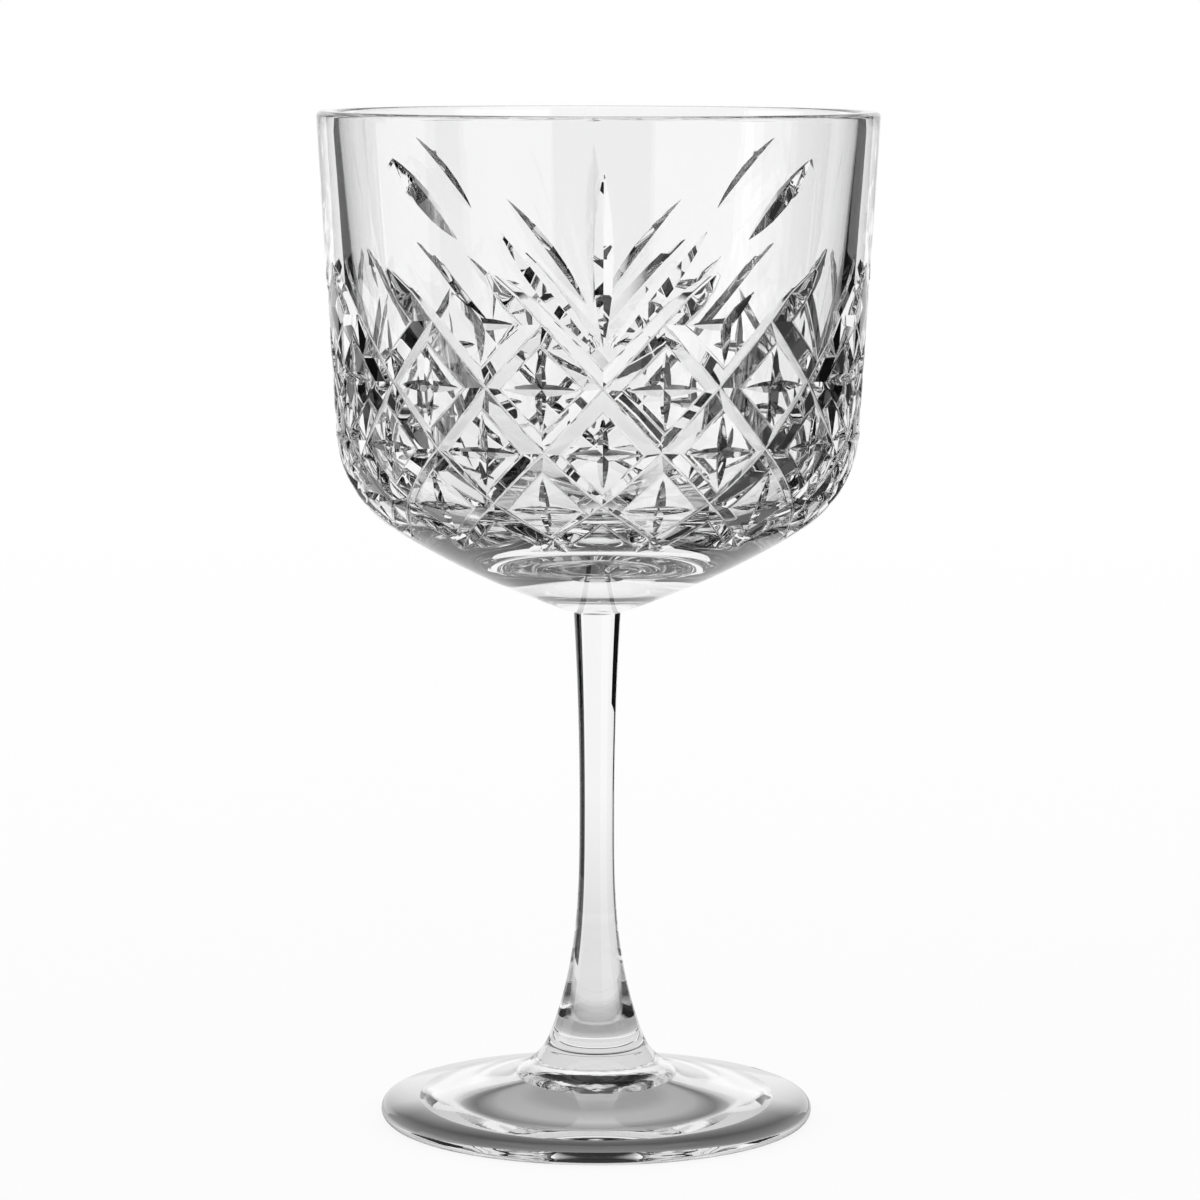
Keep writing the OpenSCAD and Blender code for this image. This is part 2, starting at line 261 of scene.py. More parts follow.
def wall_radius(z):
    """Radius of the outer wall's slope at a height."""
    return rim_radius - math.tan(wall_taper) * (total_height - z)


corner_reach = corner_radius * math.sin(corner_slope) - corner_radius / math.cos(wall_taper)
corner_drop = corner_radius * math.cos(corner_slope)
corner_lead = wall_radius(0) + corner_reach - bowl_weld_radius
corner_height = ((bowl_weld_height + corner_drop + math.tan(mean_slope) * corner_lead)
                 / (1 - math.tan(mean_slope) * math.tan(wall_taper)))
corner_centre = (wall_radius(corner_height) - corner_radius / math.cos(wall_taper), corner_height)
underside_end = (corner_centre[0] + corner_radius * math.sin(corner_slope),
                 corner_height - corner_drop)
underside_chord = math.dist(underside_end, (bowl_weld_radius, bowl_weld_height))
underside_turn = corner_slope - weld_slope
underside_radius = underside_chord / (2 * math.sin(underside_turn / 2))
underside_centre = (bowl_weld_radius - underside_radius * math.sin(weld_slope),
                    bowl_weld_height + underside_radius * math.cos(weld_slope))
underside_length = underside_radius * underside_turn
wall_start = underside_length + corner_radius * (wall_direction - corner_slope)
wall_foot = (corner_centre[0] + corner_radius * math.sin(wall_direction),
             corner_centre[1] - corner_radius * math.cos(wall_direction))
wall_top_height = rim_edge_height - rim_edge_radius * math.cos(wall_direction)
wall_end = wall_start + (wall_top_height - wall_foot[1]) / math.sin(wall_direction)


def skin(s):
    """Radius, height and slope of the outer face at distances s from the weld, along the face."""
    slope = np.where(
        s < underside_length, weld_slope + s / underside_radius,
        np.minimum(corner_slope + (s - underside_length) / corner_radius, wall_direction))
    under = s < underside_length
    corner = s < wall_start
    r = np.where(under, underside_centre[0] + underside_radius * np.sin(slope),
                 np.where(corner, corner_centre[0] + corner_radius * np.sin(slope),
                          wall_foot[0] + (s - wall_start) * math.cos(wall_direction)))
    z = np.where(under, underside_centre[1] - underside_radius * np.cos(slope),
                 np.where(corner, corner_centre[1] - corner_radius * np.cos(slope),
                          wall_foot[1] + (s - wall_start) * math.sin(wall_direction)))
    return r, z, slope


# The pattern is laid out flat, in half columns u round the bowl and rows w up its face. A quarter
# of the bowl, from the middle of the fan to the middle of the side, is mirrored and repeated.
quarter = 7
half_step = math.pi / 2 / quarter
pattern_turn = math.radians(1.1)
row_pitch = 12.1 * mm
corner_row_pitch = 11.4 * mm
underside_row_pitch = 10.2 * mm
middle_row_height = 12 * mm
corner_row = -1
underside_row = -2
middle_level = wall_start + middle_row_height
corner_level = middle_level - row_pitch
underside_level = corner_level - corner_row_pitch
weld_row = underside_row - underside_level / underside_row_pitch
top_row = (wall_end - middle_level) / row_pitch


def level(w):
    """Distance of a row from the weld, along the face."""
    return np.interp(w, [weld_row, underside_row, corner_row, top_row],
                     [0, underside_level, corner_level, wall_end])


mitre_half = 0.315          # half the mitre's width, across it in lattice steps
mitre_depth = 2.0 * mm
mitre_round = 0.036         # half the width of the rounded valley
edge_round = 0.11           # half the width of the rounded edge, as a share of mitre_half
mitre_tip = 1.82
mitre_taper = 0.4
mitre_end = -3.25
end_taper = 0.3
depth_loss = 0.08           # the cuts get shallower row by row on the underside
star_arm = 0.62
star_half = 0.1
star_depth = 1.3 * mm
slant_arm = 0.5
leaf_half = 0.158
leaf_depth = 1.5 * mm
lens_shares = (0, 0.4, 0.7, 0.88, 1)
lens_widths = (1, 0.84, 0.51, 0.226, 0)
lens_beyond = 1.6
fan_leaf = ((0, 0.66), (0, 3.36))
leaning_leaf = ((0.12, 0.62), (1.63, 2.44))
single_leaf = ((2.35, 2.29), (3.59, 3.53))
leaves = (fan_leaf, leaning_leaf, single_leaf)
side_star = (2, 1)
side_arms = ((-star_arm, 0), (0, -star_arm), (slant_arm, slant_arm))


def folded(u):
    """The same place in the first quarter."""
    turn = np.mod(u, 2 * quarter)
    return np.where(turn > quarter, 2 * quarter - turn, turn)


def lens(share):
    """Width of a lens-shaped cut along its length, from 1 at the middle to 0 at the tip."""
    slope = lens_widths[-2] / (1 - lens_shares[-2])
    last_width = -slope * (lens_beyond - 1)
    return np.interp(share, lens_shares + (lens_beyond,), lens_widths + (last_width,))


def v_cut(width, off):
    """Share of the full depth in a V-shaped cut, at a distance from its valley in half widths."""
    return np.maximum(width - off, 0)


def along_line(u, w, start, end):
    """Place along a line, from -1 to 1 at its ends, and distance from it."""
    middle = ((start[0] + end[0]) / 2, (start[1] + end[1]) / 2)
    half = math.dist(start, end) / 2
    along = ((end[0] - start[0]) / 2 / half, (end[1] - start[1]) / 2 / half)
    t = ((u - middle[0]) * along[0] + (w - middle[1]) * along[1]) / half
    n = np.abs((w - middle[1]) * along[0] - (u - middle[0]) * along[1])
    return t, n


def mitre_profile(off, taper):
    """Depth share of a mitre with a rounded valley and rounded edges."""
    soft = np.where(off < mitre_round, (off * off / mitre_round + mitre_round) / 2, off)
    rise = taper - soft / mitre_half
    eased = (rise + edge_round) ** 2 / (4 * edge_round)
    blended = np.where(rise < -edge_round, 0, np.where(rise < edge_round, eased, rise))
    return np.where(taper > 0, np.where(taper < 1, np.maximum(rise, 0), blended), 0)


def cut_depth(u, w):
    """Depth of the pattern's cuts."""
    u = folded(u)
    rise = u - w
    fall = u + w
    taper = np.clip(np.minimum((mitre_tip - w) / mitre_taper, (w - mitre_end) / end_taper), 0, 1)
    right = np.abs(np.mod(rise + 1, 2) - 1)
    right_share = np.where(rise > -1, mitre_profile(right, taper), 0)
    line = 2 * np.round(fall / 2)
    left = np.abs(fall - line)
    runs_on = line == quarter + 1
    left_share = np.where((rise >= line - 2) | runs_on, mitre_profile(left, taper), 0)
    full_depth = mitre_depth * (1 + depth_loss * np.minimum(w - corner_row, 0))
    depth = full_depth * np.maximum(right_share, left_share)
    odd = 2 * np.floor(u / 2) + 1
    even = 2 * np.round(u / 2)
    for centre, row in ((odd, 0), (even, corner_row), (odd, underside_row)):
        x, y = np.abs(u - centre), np.abs(w - row)
        level_arm = v_cut(lens(x / star_arm), y / star_half)
        upright_arm = v_cut(lens(y / star_arm), x / star_half)
        star = np.maximum(level_arm, upright_arm)
        depth = np.maximum(depth, star_depth * star)
    for arm in side_arms:
        reach = math.hypot(*arm)
        x, y = u - side_star[0], w - side_star[1]
        t = (x * arm[0] + y * arm[1]) / reach
        n = np.abs(y * arm[0] - x * arm[1]) / reach
        width = np.where(t > 0, lens(t / reach), 1 + t / star_half)
        depth = np.maximum(depth, star_depth * v_cut(width, n / star_half))
    for start, end in leaves:
        t, n = along_line(u, w, start, end)
        depth = np.maximum(depth, leaf_depth * v_cut(lens(np.abs(t)), n / leaf_half))
    return depth


def outer_face(u, w):
    """Points of the cut outer face."""
    r, z, slope = skin(level(w))
    depth = cut_depth(u, w)
    r = r - depth * np.sin(slope)
    z = z + depth * np.cos(slope)
    turn = pattern_turn + u * half_step
    return np.stack([r * np.sin(turn), -r * np.cos(turn), z], axis=1)


# The flat sheet is scored along every valley, edge and tip of the cuts, so that each facet has its
# own faces.
cells_per_step = 4
lowest_row, highest_row = -7, 4
grid_half = 0.5
snap = 0.002
join_distance = snap / 10
band_margin = 0.3
first_line = -4
lens_margin = 1.4
lens_surround = 0.5
heart_share = 1.2
heart_surround = 0.4
tip_surround = 1.0
sheet = bmesh.new()
bmesh.ops.create_grid(sheet, x_segments=quarter * cells_per_step,
                      y_segments=(highest_row - lowest_row) * cells_per_step, size=grid_half)
bmesh.ops.translate(sheet, verts=sheet.verts[:], vec=(grid_half, grid_half, 0))
bmesh.ops.scale(sheet, verts=sheet.verts[:], vec=(quarter, highest_row - lowest_row, 1))
bmesh.ops.translate(sheet, verts=sheet.verts[:], vec=(0, lowest_row, 0))


def score(faces, point, along):
    """Cuts faces of the sheet along a line and returns them with the new ones."""
    parts = dict.fromkeys(faces)
    for face in faces:
        parts.update(dict.fromkeys(face.edges))
        parts.update(dict.fromkeys(face.verts))
    cut = bmesh.ops.bisect_plane(
        sheet, geom=list(parts), dist=snap, plane_co=(point[0], point[1], 0),
        plane_no=(along[1], -along[0], 0))
    return [part for part in cut["geom"] if isinstance(part, bmesh.types.BMFace)]


def faces_between(low, high):
    """Faces of the sheet between two rows."""
    return [face for face in sheet.faces if low < face.calc_center_median().y < high]


corner_rows = (-3.5, -0.5)
band = faces_between(*corner_rows)
for k in range(int((corner_rows[1] - corner_rows[0]) * cells_per_step)):
    band = score(band, (0, corner_rows[0] + (k + 0.5) / cells_per_step), (1, 0))

soft_reach = edge_round * mitre_half
mitre_lines = (0, -mitre_round, mitre_round, mitre_half - soft_reach, soft_reach - mitre_half,
               mitre_half + soft_reach, -mitre_half - soft_reach)
band = faces_between(mitre_end - band_margin, mitre_tip + band_margin)
for line in range(first_line, 2 * quarter, 2):
    for off in mitre_lines:
        band = score(band, (line + off, 0), (1, 1))
        band = score(band, (line + off, 0), (1, -1))


def middle_of(start, end):
    """Middle of a line on the sheet."""
    return Vector(((start[0] + end[0]) / 2, (start[1] + end[1]) / 2))


def near(point, reach):
    """Faces of the sheet round a place."""
    return [face for face in sheet.faces if math.dist(face.calc_center_median().xy, point) < reach]


def score_within(faces, box, point, along):
    """Scores those of the faces that reach into a box on the sheet, and returns all of them."""
    middle, axis, low, high, half = box
    inside = []
    for face in faces:
        offsets = [v.co.xy - middle for v in face.verts]
        ts = [o.x * axis[0] + o.y * axis[1] for o in offsets]
        ns = [o.y * axis[0] - o.x * axis[1] for o in offsets]
        reaches_in = max(ts) > low + snap and min(ts) < high - snap
        if reaches_in and max(ns) > snap - half and min(ns) < half - snap:
            inside.append(face)
    chosen = set(inside)
    return [face for face in faces if face not in chosen] + score(inside, point, along)


def score_lens(start, end, half_width, share_list):
    """Scores a lens-shaped cut: its valley, its curved edges, and a line across at each station."""
    middle = middle_of(start, end)
    reach = math.dist(start, end) / 2
    axis = ((end[0] - start[0]) / 2 / reach, (end[1] - start[1]) / 2 / reach)
    side = (-axis[1], axis[0])

    def spot(t, n):
        return (middle.x + t * axis[0] + n * side[0], middle.y + t * axis[1] + n * side[1])

    margin = lens_margin * half_width
    faces = near(middle, reach + lens_surround)
    whole = (middle, axis, share_list[0] * reach, share_list[-1] * reach, margin)
    for n in (-margin, margin):
        faces = score_within(faces, whole, spot(0, n), axis)
    for share in share_list:
        faces = score_within(faces, whole, spot(share * reach, 0), side)
    faces = score_within(faces, whole, spot(0, 0), axis)
    for t0, t1 in zip(share_list, share_list[1:]):
        w0, w1 = (half_width * float(lens(abs(t))) for t in (t0, t1))
        part = (middle, axis, t0 * reach, t1 * reach, margin)
        for sign in (-1, 1):
            a, b = spot(t0 * reach, sign * w0), spot(t1 * reach, sign * w1)
            faces = score_within(faces, part, a, (b[0] - a[0], b[1] - a[1]))


both_ways = [-share for share in reversed(lens_shares)] + list(lens_shares[1:])
for row, first in ((0, 1), (corner_row, 0), (underside_row, 1)):
    for column in range(first, quarter + 1, 2):
        score_lens((column - star_arm, row), (column + star_arm, row), star_half, both_ways)
        score_lens((column, row - star_arm), (column, row + star_arm), star_half, both_ways)
        heart = heart_share * star_half
        faces = near((column, row), heart_surround)
        box = (Vector((column, row)), (1, 0), -heart, heart, heart)
        for along in ((1, 1), (1, -1)):
            faces = score_within(faces, box, (column, row), along)
for arm in side_arms:
    tip = (side_star[0] + arm[0], side_star[1] + arm[1])
    back = (side_star[0] - arm[0], side_star[1] - arm[1])
    score_lens(back, tip, star_half, list(lens_shares))
for start, end in leaves:
    score_lens(start, end, leaf_half, both_ways)
upper_right_lines = (0, 2, 4)
lower_right_lines = (4, 6, 8, 10)
lower_left_lines = (-2, 0, 2)
for tip_column, tip_row, lean, taper in (
        [(line + mitre_tip, mitre_tip, 1, mitre_taper) for line in upper_right_lines]
        + [(quarter + 1 - mitre_tip, mitre_tip, -1, mitre_taper)]
        + [(line + mitre_end, mitre_end, 1, -end_taper) for line in lower_right_lines]
        + [(line - mitre_end, mitre_end, -1, -end_taper) for line in lower_left_lines]):
    tip = (tip_column, tip_row)
    back = (tip_column - lean * taper, tip_row - taper)
    middle = middle_of(tip, back)
    faces = near(middle, tip_surround)
    half = math.dist(tip, back) / 2
    axis = ((tip[0] - middle.x) / half, (tip[1] - middle.y) / half)
    box = (middle, axis, -half, half, mitre_half)
    faces = score_within(faces, box, back, (-axis[1], axis[0]))
    faces = score_within(faces, box, tip, (-axis[1], axis[0]))
    for sign in (-1, 1):
        edge_spot = (back[0] - axis[1] * sign * mitre_half / math.sqrt(2),
                     back[1] + axis[0] * sign * mitre_half / math.sqrt(2))
        faces = score_within(faces, box, tip, (edge_spot[0] - tip[0], edge_spot[1] - tip[1]))

# The quarter is mirrored at the fan, and the half is repeated at the back.
mirrored = bmesh.ops.duplicate(sheet, geom=sheet.verts[:] + sheet.edges[:] + sheet.faces[:])["geom"]
mirrored_verts = [part for part in mirrored if isinstance(part, bmesh.types.BMVert)]
mirrored_faces = [part for part in mirrored if isinstance(part, bmesh.types.BMFace)]
bmesh.ops.scale(sheet, verts=mirrored_verts, vec=(-1, 1, 1))
bmesh.ops.reverse_faces(sheet, faces=mirrored_faces)
behind = bmesh.ops.duplicate(sheet, geom=sheet.verts[:] + sheet.edges[:] + sheet.faces[:])["geom"]
behind_verts = [part for part in behind if isinstance(part, bmesh.types.BMVert)]
bmesh.ops.translate(sheet, verts=behind_verts, vec=(2 * quarter, 0, 0))
bmesh.ops.remove_doubles(sheet, verts=sheet.verts[:], dist=join_distance)
for v in sheet.verts:
    if v.co.y > highest_row - snap:
        v.co.y = top_row
    if v.co.y < lowest_row + snap:
        v.co.y = weld_row
outer = bpy.data.meshes.new("outer_face")
sheet.to_mesh(outer)
sheet.free()

# The sheet is wrapped round the bowl. Each facet's corners get the normal that its own surface has
# there, found a little way in from the corner.
flat = np.empty(len(outer.vertices) * 3)
outer.vertices.foreach_get("co", flat)
flat = flat.reshape(-1, 3)
corners = np.empty(len(outer.loops), dtype=np.int32)
outer.loops.foreach_get("vertex_index", corners)
counts = np.empty(len(outer.polygons), dtype=np.int32)
outer.polygons.foreach_get("loop_total", counts)
owner = np.repeat(np.arange(len(counts)), counts)
spots = flat[corners][:, :2]
centres = np.stack([np.bincount(owner, spots[:, k]) / counts for k in (0, 1)], axis=1)[owner]
inward = centres - spots
pull = 0.001
step = 1e-5
spots = spots + pull * inward / np.linalg.norm(inward, axis=1, keepdims=True)
u, w = spots[:, 0], np.clip(spots[:, 1], weld_row + step, top_row - step)
normals = np.cross(outer_face(u + step, w) - outer_face(u - step, w),
                   outer_face(u, w + step) - outer_face(u, w - step))
normals /= np.linalg.norm(normals, axis=1, keepdims=True)
outer.vertices.foreach_set("co", outer_face(flat[:, 0], flat[:, 1]).ravel())
facet_normal = outer.attributes.new("facet_normal", "FLOAT_VECTOR", "CORNER")
facet_normal.data.foreach_set("vector", normals.ravel())


def hollow_radius(z):
    """Radius of the inner wall's slope at a height."""
    return rim_radius - rim_thickness - math.tan(hollow_taper) * (total_height - z)


# The inside is turned: the rim with its rounded edges, the wall, the corner, the slope and the
# floor. A flat disc closes the bowl at the weld.
hollow_corner_radius = (hollow_radius(corner_height) - corner_centre[0]) * math.cos(hollow_taper)
floor_start = (corner_centre[0] + hollow_corner_radius * math.sin(floor_slope),
               corner_height - hollow_corner_radius * math.cos(floor_slope))
floor_height = floor_start[1] - (floor_start[0] - floor_radius) * math.tan(floor_slope)
rim_edge_steps = 12
hollow_corner_steps = 24
wall_steps = 24
bowl_steps = 4 * quarter * cells_per_step
outer_edge_radius = wall_radius(rim_edge_height) - rim_edge_radius / math.cos(wall_taper)
inner_edge_radius = hollow_radius(rim_edge_height) + rim_edge_radius / math.cos(hollow_taper)
outer_edge_centre = (outer_edge_radius, rim_edge_height)
inner_edge_centre = (inner_edge_radius, rim_edge_height)
outer_edge = arc(outer_edge_centre, rim_edge_radius, -wall_taper, math.pi / 2, rim_edge_steps)
inner_edge = arc(inner_edge_centre, rim_edge_radius, math.pi / 2, math.pi - hollow_taper,
                 rim_edge_steps)
rim = outer_edge + inner_edge
hollow_corner = arc(corner_centre, hollow_corner_radius, -hollow_taper, floor_slope - math.pi / 2,
                    hollow_corner_steps)
wall_inside = [(rim[-1][0] + (hollow_corner[0][0] - rim[-1][0]) * k / wall_steps,
                rim[-1][1] + (hollow_corner[0][1] - rim[-1][1]) * k / wall_steps)
               for k in range(1, wall_steps)]
hollow_floor = [(floor_radius, floor_height), (0, floor_height)]
weld_face = [(0, bowl_weld_height), (bowl_weld_radius, bowl_weld_height)]
bowl_form = bmesh.new()
bowl_form.from_mesh(outer)
for outline in (rim + wall_inside + hollow_corner + hollow_floor, weld_face):
    turned = spun(outline, bowl_steps, pattern_turn)
    turned_mesh = bpy.data.meshes.new("turned")
    turned.to_mesh(turned_mesh)
    turned.free()
    bowl_form.from_mesh(turned_mesh)
bmesh.ops.remove_doubles(bowl_form, verts=bowl_form.verts[:], dist=merge_distance)
bowl = finished("cut_bowl", bowl_form, [bowl_weld_height], "bowl")
kept = bowl.data.attributes["facet_normal"]
values = np.empty(len(bowl.data.loops) * 3)
kept.data.foreach_get("vector", values)
bowl.data.normals_split_custom_set(values.reshape(-1, 3).tolist())
bowl.data.attributes.remove(bowl.data.attributes["facet_normal"])

# ---- Studio --------------------------------------------------------------------------------------
# A round white table top under the glass and a white room with a dim ceiling. Black cards stand
# round the glass and dark sheets lie on the table, out of the picture, so that the edges and cuts
# of the glass show dark against the white.
white = (1, 1, 1, 1)
table_radius = 1.6
table_steps = 96
table_height = 0.1 * mm     # the standing ring sits this deep in the surface
table_paint = (0.9, 0.9, 0.9, 1)
table_roughness = 0.6
table_gloss = 0.1
glow_strength = 1.0
shadow_fade_start, shadow_fade_end = 0.2, 1.2
glow_near, glow_far = 0.88, 1.0

# In the glass the table shows these tones of painted shadow, by distance from the axis: darker near
# the glass, with painted light and dark rings under the foot. The painted shade at the front of the
# standing ring goes by distance from a place behind the axis, and it lies only close to the ring.
painted_shadow_tones = ((0.0, 0.4), (0.013, 0.45), (0.016, 0.62), (0.0195, 0.62), (0.0235, 0.3),
               (0.027, 0.35), (0.032, 0.8), (0.05, 0.8), (0.1, 0.78), (0.2, 0.87), (0.4, 1))
shade_tones = ((0.037, 1), (0.043, 0.7), (0.049, 0.25), (0.056, 0.02))
shade_centre = (0, 0.02, 0)
ring_shade_shares = ((0.03, 0), (0.036, 1), (0.044, 1), (0.055, 0))


def set_tones(ramp_node, stops):
    """Gives a colour ramp its stops, each a place and a grey tone."""
    elements = ramp_node.color_ramp.elements
    for element, (place, tone) in zip((elements[0], elements[1]), (stops[0], stops[-1])):
        element.position = place
        element.color = (tone, tone, tone, 1)
    for place, tone in stops[1:-1]:
        elements.new(place).color = (tone, tone, tone, 1)


table_form = bmesh.new()
bmesh.ops.create_circle(table_form, cap_ends=True, radius=table_radius, segments=table_steps)
bmesh.ops.translate(table_form, verts=table_form.verts[:], vec=(0, 0, table_height))
table_mesh = bpy.data.meshes.new("table_top")
table_form.to_mesh(table_mesh)
table_form.free()
table_top = bpy.data.objects.new("table_top", table_mesh)
bpy.context.collection.objects.link(table_top)
# The camera sees the table plain white. In the glass it shows painted shadow and painted shade
# instead of its own light.
table_white = bpy.data.materials.new("table_white")
table_white.use_nodes = True
nodes, links = table_white.node_tree.nodes, table_white.node_tree.links
paint = nodes["Principled BSDF"]
paint.inputs["Base Color"].default_value = table_paint
paint.inputs["Roughness"].default_value = table_roughness
paint.inputs["Specular IOR Level"].default_value = table_gloss
ray = nodes.new("ShaderNodeLightPath")
place = nodes.new("ShaderNodeTexCoord")
reach = nodes.new("ShaderNodeVectorMath")
reach.operation = "LENGTH"
links.new(place.outputs["Object"], reach.inputs[0])
# Painted shadow on the table near the glass, with painted light and dark rings under the foot.
painted_shadow = nodes.new("ShaderNodeValToRGB")
set_tones(painted_shadow, painted_shadow_tones)
links.new(reach.outputs["Value"], painted_shadow.inputs["Fac"])
off_back = nodes.new("ShaderNodeVectorMath")
off_back.operation = "DISTANCE"
off_back.inputs[1].default_value = shade_centre
links.new(place.outputs["Object"], off_back.inputs[0])
# Painted shade under the front of the standing ring, laid only close to the ring and seen only in
# the glass.
contact_shade = nodes.new("ShaderNodeValToRGB")
set_tones(contact_shade, shade_tones)
links.new(off_back.outputs["Value"], contact_shade.inputs["Fac"])
shade_near_ring = nodes.new("ShaderNodeValToRGB")
set_tones(shade_near_ring, ring_shade_shares)
links.new(reach.outputs["Value"], shade_near_ring.inputs["Fac"])
shaded = nodes.new("ShaderNodeMix")
shaded.data_type = "RGBA"
shaded.blend_type = "MULTIPLY"
links.new(shade_near_ring.outputs["Color"], shaded.inputs["Factor"])
links.new(painted_shadow.outputs["Color"], shaded.inputs["A"])
links.new(contact_shade.outputs["Color"], shaded.inputs["B"])
seen_white = nodes.new("ShaderNodeMix")
seen_white.data_type = "RGBA"
seen_white.inputs["B"].default_value = white
links.new(ray.outputs["Is Camera Ray"], seen_white.inputs["Factor"])
links.new(shaded.outputs["Result"], seen_white.inputs["A"])
glow = nodes.new("ShaderNodeEmission")
glow.inputs["Strength"].default_value = glow_strength
links.new(seen_white.outputs["Result"], glow.inputs["Color"])
seen = nodes.new("ShaderNodeMath")
seen.operation = "MAXIMUM"
links.new(ray.outputs["Is Camera Ray"], seen.inputs[0])
links.new(ray.outputs["Is Glossy Ray"], seen.inputs[1])
seen_through = nodes.new("ShaderNodeMath")
seen_through.operation = "MAXIMUM"
links.new(seen.outputs["Value"], seen_through.inputs[0])
links.new(ray.outputs["Is Transmission Ray"], seen_through.inputs[1])
shadow_fade = nodes.new("ShaderNodeMapRange")
shadow_fade.inputs["From Min"].default_value = shadow_fade_start
shadow_fade.inputs["From Max"].default_value = shadow_fade_end
shadow_fade.inputs["To Min"].default_value = glow_near
shadow_fade.inputs["To Max"].default_value = glow_far
links.new(reach.outputs["Value"], shadow_fade.inputs["Value"])
share_of_glow = nodes.new("ShaderNodeMath")
share_of_glow.operation = "MULTIPLY"
links.new(seen_through.outputs["Value"], share_of_glow.inputs[0])
links.new(shadow_fade.outputs["Result"], share_of_glow.inputs[1])
blend = nodes.new("ShaderNodeMixShader")
links.new(share_of_glow.outputs["Value"], blend.inputs["Fac"])
links.new(paint.outputs["BSDF"], blend.inputs[1])
links.new(glow.outputs["Emission"], blend.inputs[2])
links.new(blend.outputs["Shader"], nodes["Material Output"].inputs["Surface"])
table_mesh.materials.append(table_white)

# The room is white up to a low height, dark above that, and pale again straight overhead.
room_tones = ((0.0, 1), (0.28, 1), (0.4, 0.02), (0.85, 0.02), (0.9, 0.8))
world = bpy.data.worlds.new("white_room")
bpy.context.scene.world = world
world.use_nodes = True
nodes, links = world.node_tree.nodes, world.node_tree.links
room = nodes["Background"]
ray = nodes.new("ShaderNodeLightPath")
place = nodes.new("ShaderNodeTexCoord")
split = nodes.new("ShaderNodeSeparateXYZ")
links.new(place.outputs["Generated"], split.inputs["Vector"])
ceiling = nodes.new("ShaderNodeValToRGB")
set_tones(ceiling, room_tones)
links.new(split.outputs["Z"], ceiling.inputs["Fac"])
plain_white = nodes.new("ShaderNodeMath")
plain_white.operation = "MAXIMUM"
links.new(ray.outputs["Is Camera Ray"], plain_white.inputs[0])
links.new(ray.outputs["Is Diffuse Ray"], plain_white.inputs[1])
behind_glass = nodes.new("ShaderNodeMix")
behind_glass.data_type = "RGBA"
behind_glass.inputs["B"].default_value = white
links.new(plain_white.outputs["Value"], behind_glass.inputs["Factor"])
links.new(ceiling.outputs["Color"], behind_glass.inputs["A"])
links.new(behind_glass.outputs["Result"], room.inputs["Color"])

# A card or sheet spans its angles from straight behind the glass towards the right. Some show only
# in light that has passed more than two faces of glass, or that the glass has mirrored.
card_distance = 0.8
card_height = 1.0
card_steps = 24
card_black = 0.004
card_gloss = 0.0
sheet_lift = 0.5 * mm
sheet_start = 0.06
near_break = 0.2
far_break = 0.42
right_side = (33, 112)
left_side = (-74, -37)
left_table = (-80, -55)
side_table = (-55, -38)
camera_side = (158, 252)
upright = [(card_distance, 0), (card_distance, card_height)]
always = None
past_two_faces = ("Ray Depth", 2.5)
when_mirrored = ("Glossy Depth", 0.5)


def on_table(start, end):
    """Outline of a sheet that lies on the table between two distances."""
    return [(start, sheet_lift), (end, sheet_lift)]


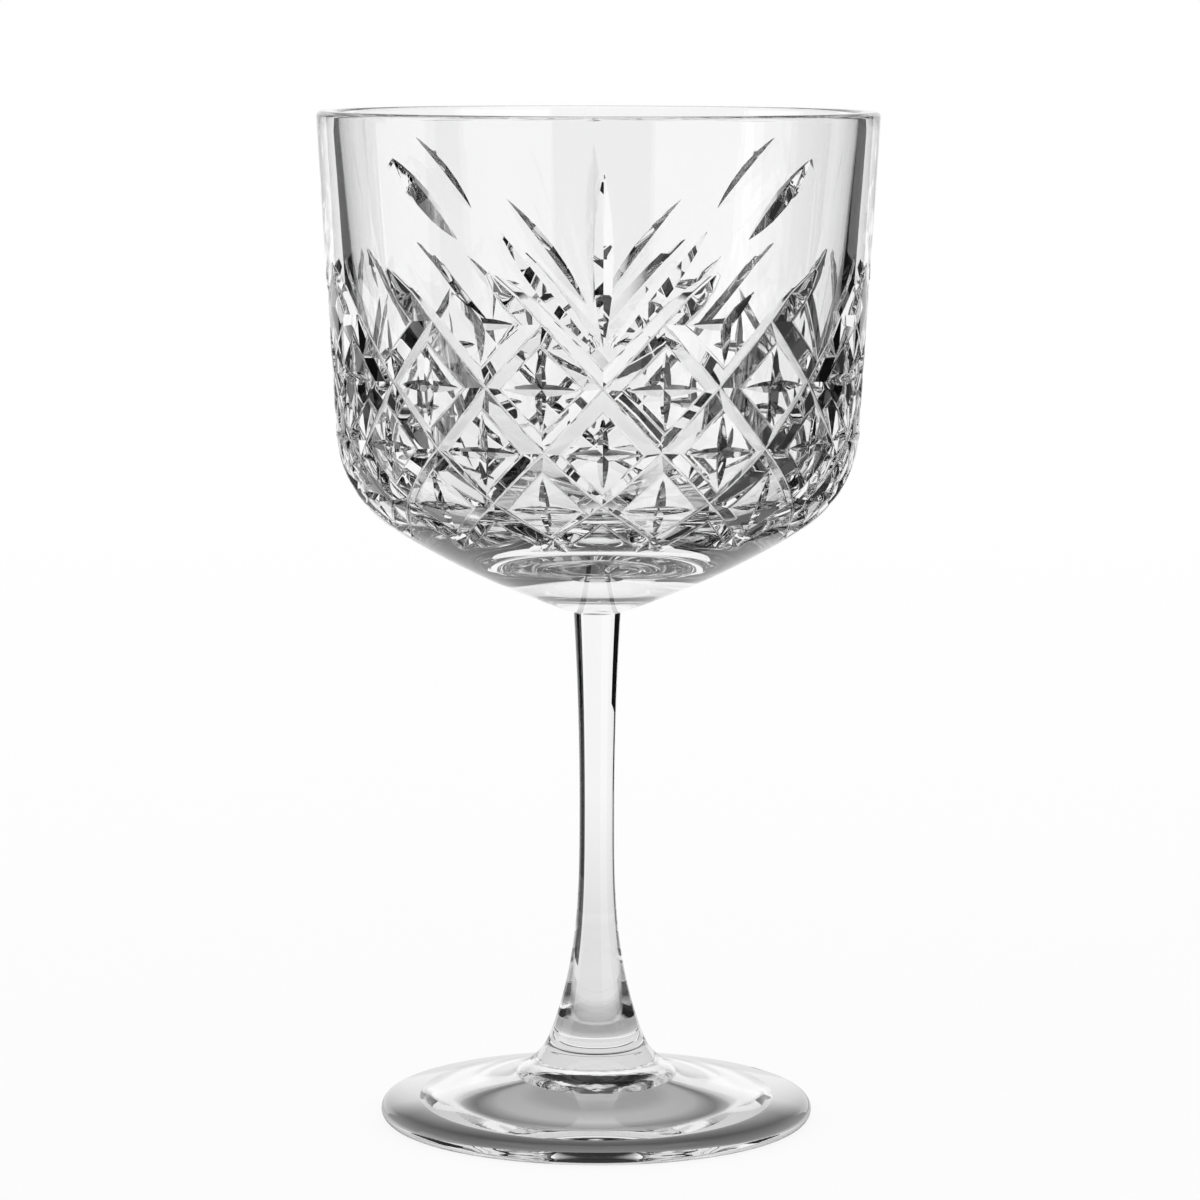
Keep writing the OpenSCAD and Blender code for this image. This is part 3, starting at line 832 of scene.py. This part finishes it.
for name, (first, last), outline, tone, seen_by in (
        ("right_card", right_side, upright, card_black, always),
        ("right_near_sheet", right_side, on_table(sheet_start, near_break), 0.08, always),
        ("right_far_sheet", right_side, on_table(near_break, card_distance), 0.03, always),
        ("left_card", left_side, upright, card_black, always),
        ("left_near_sheet", left_table, on_table(sheet_start, far_break), 0.2, always),
        ("left_far_sheet", left_table, on_table(far_break, card_distance), 0.04, always),
        ("side_near_sheet", side_table, on_table(sheet_start, far_break), 0.2, past_two_faces),
        ("side_far_sheet", side_table, on_table(far_break, card_distance), 0.05, past_two_faces),
        ("front_card", camera_side, upright, card_black, when_mirrored),
        ("front_sheet", camera_side, on_table(sheet_start, card_distance), 0.02, when_mirrored)):
    begin, sweep = math.radians(first), math.radians(last - first)
    card_form = bmesh.new()
    ends = [card_form.verts.new((r * math.sin(begin), r * math.cos(begin), z)) for r, z in outline]
    card_form.edges.new(ends)
    bmesh.ops.spin(
        card_form, geom=card_form.verts[:] + card_form.edges[:], cent=(0, 0, 0), axis=(0, 0, 1),
        dvec=(0, 0, 0), angle=-sweep, steps=card_steps, use_merge=False, use_duplicate=False)
    card_mesh = bpy.data.meshes.new(name)
    card_form.to_mesh(card_mesh)
    card_form.free()
    card_paint = bpy.data.materials.new(name)
    card_paint.use_nodes = True
    nodes, links = card_paint.node_tree.nodes, card_paint.node_tree.links
    paint = nodes["Principled BSDF"]
    paint.inputs["Base Color"].default_value = (tone, tone, tone, 1)
    paint.inputs["Specular IOR Level"].default_value = card_gloss
    if seen_by:
        count, least = seen_by
        ray = nodes.new("ShaderNodeLightPath")
        deep_enough = nodes.new("ShaderNodeMath")
        deep_enough.operation = "GREATER_THAN"
        deep_enough.inputs[1].default_value = least
        links.new(ray.outputs[count], deep_enough.inputs[0])
        unseen = nodes.new("ShaderNodeBsdfTransparent")
        blend = nodes.new("ShaderNodeMixShader")
        links.new(deep_enough.outputs["Value"], blend.inputs["Fac"])
        links.new(unseen.outputs["BSDF"], blend.inputs[1])
        links.new(paint.outputs["BSDF"], blend.inputs[2])
        links.new(blend.outputs["Shader"], nodes["Material Output"].inputs["Surface"])
    card_mesh.materials.append(card_paint)
    card = bpy.data.objects.new(name, card_mesh)
    card.visible_camera = False
    card.visible_diffuse = False
    card.visible_shadow = False
    bpy.context.collection.objects.link(card)

# Light may cross the thick glass many times before it leaves.
most_bounces = 24
most_glass_bounces = 16
bpy.context.scene.cycles.max_bounces = most_bounces
bpy.context.scene.cycles.glossy_bounces = most_glass_bounces
bpy.context.scene.cycles.transmission_bounces = most_glass_bounces

# ---- Camera --------------------------------------------------------------------------------------
# A long lens a little above the rim, tipped down towards the glass. It has the photograph's own
# view.
lens_length = 140.385
sensor_width = 36
camera_place = (0.00024, -0.91652, 0.21852)
camera_dip = math.radians(7.128)
camera_roll = math.radians(-0.14)
camera_data = bpy.data.cameras.new("camera")
camera_data.lens = lens_length
camera_data.sensor_width = sensor_width
camera = bpy.data.objects.new("camera", camera_data)
camera.location = camera_place
camera.rotation_euler = (math.pi / 2 - camera_dip, camera_roll, 0)
bpy.context.collection.objects.link(camera)
bpy.context.scene.camera = camera
bpy.context.scene.view_settings.view_transform = "Standard"
